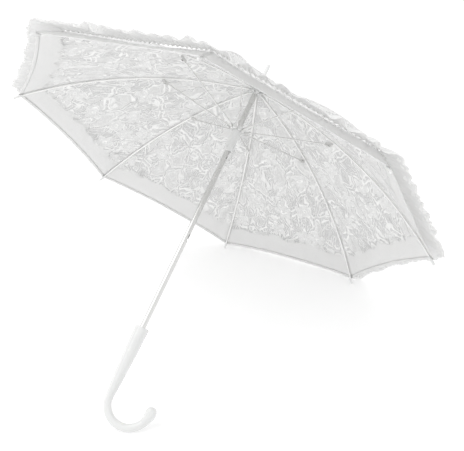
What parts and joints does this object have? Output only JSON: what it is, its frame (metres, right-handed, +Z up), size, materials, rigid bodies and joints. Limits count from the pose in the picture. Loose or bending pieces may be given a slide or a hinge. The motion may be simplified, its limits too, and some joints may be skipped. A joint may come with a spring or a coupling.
{
  "type": "lace parasol",
  "caption": "Small open parasol of white lace with a ruffled edge, on a folding rib frame with a crook handle, lying at rest on two rib tips and its crook.",
  "frame": {"origin": "centre of the bounding box's bottom face, on the surface that the open parasol lies on", "axes": "+Z up; +Y level, the way that the crown leans; +X along the line through the two rib tips on the floor"},
  "size_m": [0.6304, 0.502, 0.5035],
  "materials": {
    "steel": "satin",
    "rib_enamel": "white, satin",
    "wire": "satin",
    "white_plastic": "gloss",
    "handle_plastic": "gloss, slightly translucent",
    "lace": "embroidered net, matte",
    "frill": "gathered net with a picot edge, matte"
  },
  "bodies": {
    "root": {"shaft": "steel", "crown": "white_plastic", "crown_wire": "wire", "canopy_cap": "lace", "ferrule": "white_plastic", "crook_handle": "handle_plastic"},
    "runner": {"runner": "white_plastic", "runner_wire": "wire"},
    "top_catch": {"top_catch": "wire"},
    "lower_catch": {"lower_catch": "wire"},
    "rib_1": {"rib_1": "rib_enamel", "rib_tip_1": "white_plastic"},
    "stretcher_1": {"stretcher_1": "steel", "rivet_1": "wire"},
    "panel_1": {"gore_1": "lace", "frill_1": "frill"},
    "rib_2": {"rib_2": "rib_enamel", "rib_tip_2": "white_plastic"},
    "stretcher_2": {"stretcher_2": "steel", "rivet_2": "wire"},
    "panel_2": {"gore_2": "lace", "frill_2": "frill"},
    "rib_3": {"rib_3": "rib_enamel", "rib_tip_3": "white_plastic"},
    "stretcher_3": {"stretcher_3": "steel", "rivet_3": "wire"},
    "panel_3": {"gore_3": "lace", "frill_3": "frill"},
    "rib_4": {"rib_4": "rib_enamel", "rib_tip_4": "white_plastic"},
    "stretcher_4": {"stretcher_4": "steel", "rivet_4": "wire"},
    "panel_4": {"gore_4": "lace", "frill_4": "frill"},
    "rib_5": {"rib_5": "rib_enamel", "rib_tip_5": "white_plastic"},
    "stretcher_5": {"stretcher_5": "steel", "rivet_5": "wire"},
    "panel_5": {"gore_5": "lace", "frill_5": "frill"},
    "rib_6": {"rib_6": "rib_enamel", "rib_tip_6": "white_plastic"},
    "stretcher_6": {"stretcher_6": "steel", "rivet_6": "wire"},
    "panel_6": {"gore_6": "lace", "frill_6": "frill"},
    "rib_7": {"rib_7": "rib_enamel", "rib_tip_7": "white_plastic"},
    "stretcher_7": {"stretcher_7": "steel", "rivet_7": "wire"},
    "panel_7": {"gore_7": "lace", "frill_7": "frill"},
    "rib_8": {"rib_8": "rib_enamel", "rib_tip_8": "white_plastic"},
    "stretcher_8": {"stretcher_8": "steel", "rivet_8": "wire"},
    "panel_8": {"gore_8": "lace", "frill_8": "frill"}
  },
  "joints": [
    {"name": "runner_slide", "type": "slide", "parent": "root", "child": "runner", "axis": [0, -0.7869, -0.6171], "range_m": [0, 0.19284]},
    {"name": "rib_1_hinge", "type": "hinge", "parent": "root", "child": "rib_1", "pos_m": [0.00287, 0.16733, 0.33351], "axis": [-0.9239, 0.2361, -0.3011], "range_deg": [0, 64.64]},
    {"name": "rib_2_hinge", "type": "hinge", "parent": "root", "child": "rib_2", "pos_m": [-0.00287, 0.16733, 0.33351], "axis": [-0.9239, -0.2361, 0.3011], "range_deg": [0, 64.64]},
    {"name": "rib_3_hinge", "type": "hinge", "parent": "root", "child": "rib_3", "pos_m": [-0.00693, 0.16483, 0.33671], "axis": [-0.3827, -0.5701, 0.727], "range_deg": [0, 64.64]},
    {"name": "rib_4_hinge", "type": "hinge", "parent": "root", "child": "rib_4", "pos_m": [-0.00693, 0.16129, 0.34122], "axis": [0.3827, -0.5701, 0.727], "range_deg": [0, 64.64]},
    {"name": "rib_5_hinge", "type": "hinge", "parent": "root", "child": "rib_5", "pos_m": [-0.00287, 0.15878, 0.34442], "axis": [0.9239, -0.2361, 0.3011], "range_deg": [0, 64.64]},
    {"name": "rib_6_hinge", "type": "hinge", "parent": "root", "child": "rib_6", "pos_m": [0.00287, 0.15878, 0.34442], "axis": [0.9239, 0.2361, -0.3011], "range_deg": [0, 64.64]},
    {"name": "rib_7_hinge", "type": "hinge", "parent": "root", "child": "rib_7", "pos_m": [0.00693, 0.16129, 0.34122], "axis": [0.3827, 0.5701, -0.727], "range_deg": [0, 64.64]},
    {"name": "rib_8_hinge", "type": "hinge", "parent": "root", "child": "rib_8", "pos_m": [0.00693, 0.16483, 0.33671], "axis": [-0.3827, 0.5701, -0.727], "range_deg": [0, 64.64]},
    {"name": "stretcher_1_hinge", "type": "hinge", "parent": "rib_1", "child": "stretcher_1", "pos_m": [0.05217, 0.21075, 0.21631], "axis": [0.9239, -0.2361, 0.3011], "range_deg": [0, 133.94]},
    {"name": "stretcher_2_hinge", "type": "hinge", "parent": "rib_2", "child": "stretcher_2", "pos_m": [-0.05217, 0.21075, 0.21631], "axis": [0.9239, 0.2361, -0.3011], "range_deg": [0, 133.94]},
    {"name": "stretcher_3_hinge", "type": "hinge", "parent": "rib_3", "child": "stretcher_3", "pos_m": [-0.12595, 0.16523, 0.27436], "axis": [0.3827, 0.5701, -0.727], "range_deg": [0, 133.94]},
    {"name": "stretcher_4_hinge", "type": "hinge", "parent": "rib_4", "child": "stretcher_4", "pos_m": [-0.12595, 0.10084, 0.35647], "axis": [-0.3827, 0.5701, -0.727], "range_deg": [0, 133.94]},
    {"name": "stretcher_5_hinge", "type": "hinge", "parent": "rib_5", "child": "stretcher_5", "pos_m": [-0.05217, 0.05531, 0.41453], "axis": [-0.9239, 0.2361, -0.3011], "range_deg": [0, 133.94]},
    {"name": "stretcher_6_hinge", "type": "hinge", "parent": "rib_6", "child": "stretcher_6", "pos_m": [0.05217, 0.05531, 0.41453], "axis": [-0.9239, -0.2361, 0.3011], "range_deg": [0, 133.94]},
    {"name": "stretcher_7_hinge", "type": "hinge", "parent": "rib_7", "child": "stretcher_7", "pos_m": [0.12595, 0.10084, 0.35647], "axis": [-0.3827, -0.5701, 0.727], "range_deg": [0, 133.94]},
    {"name": "stretcher_8_hinge", "type": "hinge", "parent": "rib_8", "child": "stretcher_8", "pos_m": [0.12595, 0.16523, 0.27436], "axis": [0.3827, -0.5701, 0.727], "range_deg": [0, 133.94]},
    {"name": "panel_1_fold", "type": "hinge", "parent": "root", "child": "panel_1", "pos_m": [0, 0.16733, 0.33351], "axis": [-1, 0, 0], "range_deg": [0, 61.18], "deforming": ["gore_1", "frill_1"]},
    {"name": "panel_2_fold", "type": "hinge", "parent": "root", "child": "panel_2", "pos_m": [-0.0049, 0.16608, 0.33511], "axis": [-0.7071, -0.4363, 0.5564], "range_deg": [0, 61.18], "deforming": ["gore_2", "frill_2"]},
    {"name": "panel_3_fold", "type": "hinge", "parent": "root", "child": "panel_3", "pos_m": [-0.00693, 0.16306, 0.33896], "axis": [0, -0.6171, 0.7869], "range_deg": [0, 61.18], "deforming": ["gore_3", "frill_3"]},
    {"name": "panel_4_fold", "type": "hinge", "parent": "root", "child": "panel_4", "pos_m": [-0.0049, 0.16004, 0.34282], "axis": [0.7071, -0.4363, 0.5564], "range_deg": [0, 61.18], "deforming": ["gore_4", "frill_4"]},
    {"name": "panel_5_fold", "type": "hinge", "parent": "root", "child": "panel_5", "pos_m": [0, 0.15878, 0.34442], "axis": [1, 0, 0], "range_deg": [0, 61.18], "deforming": ["gore_5", "frill_5"]},
    {"name": "panel_6_fold", "type": "hinge", "parent": "root", "child": "panel_6", "pos_m": [0.0049, 0.16004, 0.34282], "axis": [0.7071, 0.4363, -0.5564], "range_deg": [0, 61.18], "deforming": ["gore_6", "frill_6"]},
    {"name": "panel_7_fold", "type": "hinge", "parent": "root", "child": "panel_7", "pos_m": [0.00693, 0.16306, 0.33896], "axis": [0, 0.6171, -0.7869], "range_deg": [0, 61.18], "deforming": ["gore_7", "frill_7"]},
    {"name": "panel_8_fold", "type": "hinge", "parent": "root", "child": "panel_8", "pos_m": [0.0049, 0.16608, 0.33511], "axis": [-0.7071, 0.4363, -0.5564], "range_deg": [0, 61.18], "deforming": ["gore_8", "frill_8"]},
    {"name": "top_catch_press", "type": "slide", "parent": "root", "child": "top_catch", "axis": [-1, 0, 0], "range_m": [0, 0.0019], "stiffness_N_per_m": 400, "springref_m": -0.002},
    {"name": "lower_catch_press", "type": "slide", "parent": "root", "child": "lower_catch", "axis": [-1, 0, 0], "range_m": [0, 0.0019], "stiffness_N_per_m": 400, "springref_m": -0.002}
  ],
  "couplings": [
    {"joint": "rib_1_hinge", "follows": "runner_slide", "rad_per_m": 5.8487},
    {"joint": "rib_2_hinge", "follows": "runner_slide", "rad_per_m": 5.8487},
    {"joint": "rib_3_hinge", "follows": "runner_slide", "rad_per_m": 5.8487},
    {"joint": "rib_4_hinge", "follows": "runner_slide", "rad_per_m": 5.8487},
    {"joint": "rib_5_hinge", "follows": "runner_slide", "rad_per_m": 5.8487},
    {"joint": "rib_6_hinge", "follows": "runner_slide", "rad_per_m": 5.8487},
    {"joint": "rib_7_hinge", "follows": "runner_slide", "rad_per_m": 5.8487},
    {"joint": "rib_8_hinge", "follows": "runner_slide", "rad_per_m": 5.8487},
    {"joint": "stretcher_1_hinge", "follows": "runner_slide", "rad_per_m": 12.12},
    {"joint": "stretcher_2_hinge", "follows": "runner_slide", "rad_per_m": 12.12},
    {"joint": "stretcher_3_hinge", "follows": "runner_slide", "rad_per_m": 12.12},
    {"joint": "stretcher_4_hinge", "follows": "runner_slide", "rad_per_m": 12.12},
    {"joint": "stretcher_5_hinge", "follows": "runner_slide", "rad_per_m": 12.12},
    {"joint": "stretcher_6_hinge", "follows": "runner_slide", "rad_per_m": 12.12},
    {"joint": "stretcher_7_hinge", "follows": "runner_slide", "rad_per_m": 12.12},
    {"joint": "stretcher_8_hinge", "follows": "runner_slide", "rad_per_m": 12.12},
    {"joint": "panel_1_fold", "follows": "runner_slide", "rad_per_m": 5.5355},
    {"joint": "panel_2_fold", "follows": "runner_slide", "rad_per_m": 5.5355},
    {"joint": "panel_3_fold", "follows": "runner_slide", "rad_per_m": 5.5355},
    {"joint": "panel_4_fold", "follows": "runner_slide", "rad_per_m": 5.5355},
    {"joint": "panel_5_fold", "follows": "runner_slide", "rad_per_m": 5.5355},
    {"joint": "panel_6_fold", "follows": "runner_slide", "rad_per_m": 5.5355},
    {"joint": "panel_7_fold", "follows": "runner_slide", "rad_per_m": 5.5355},
    {"joint": "panel_8_fold", "follows": "runner_slide", "rad_per_m": 5.5355}
  ]
}
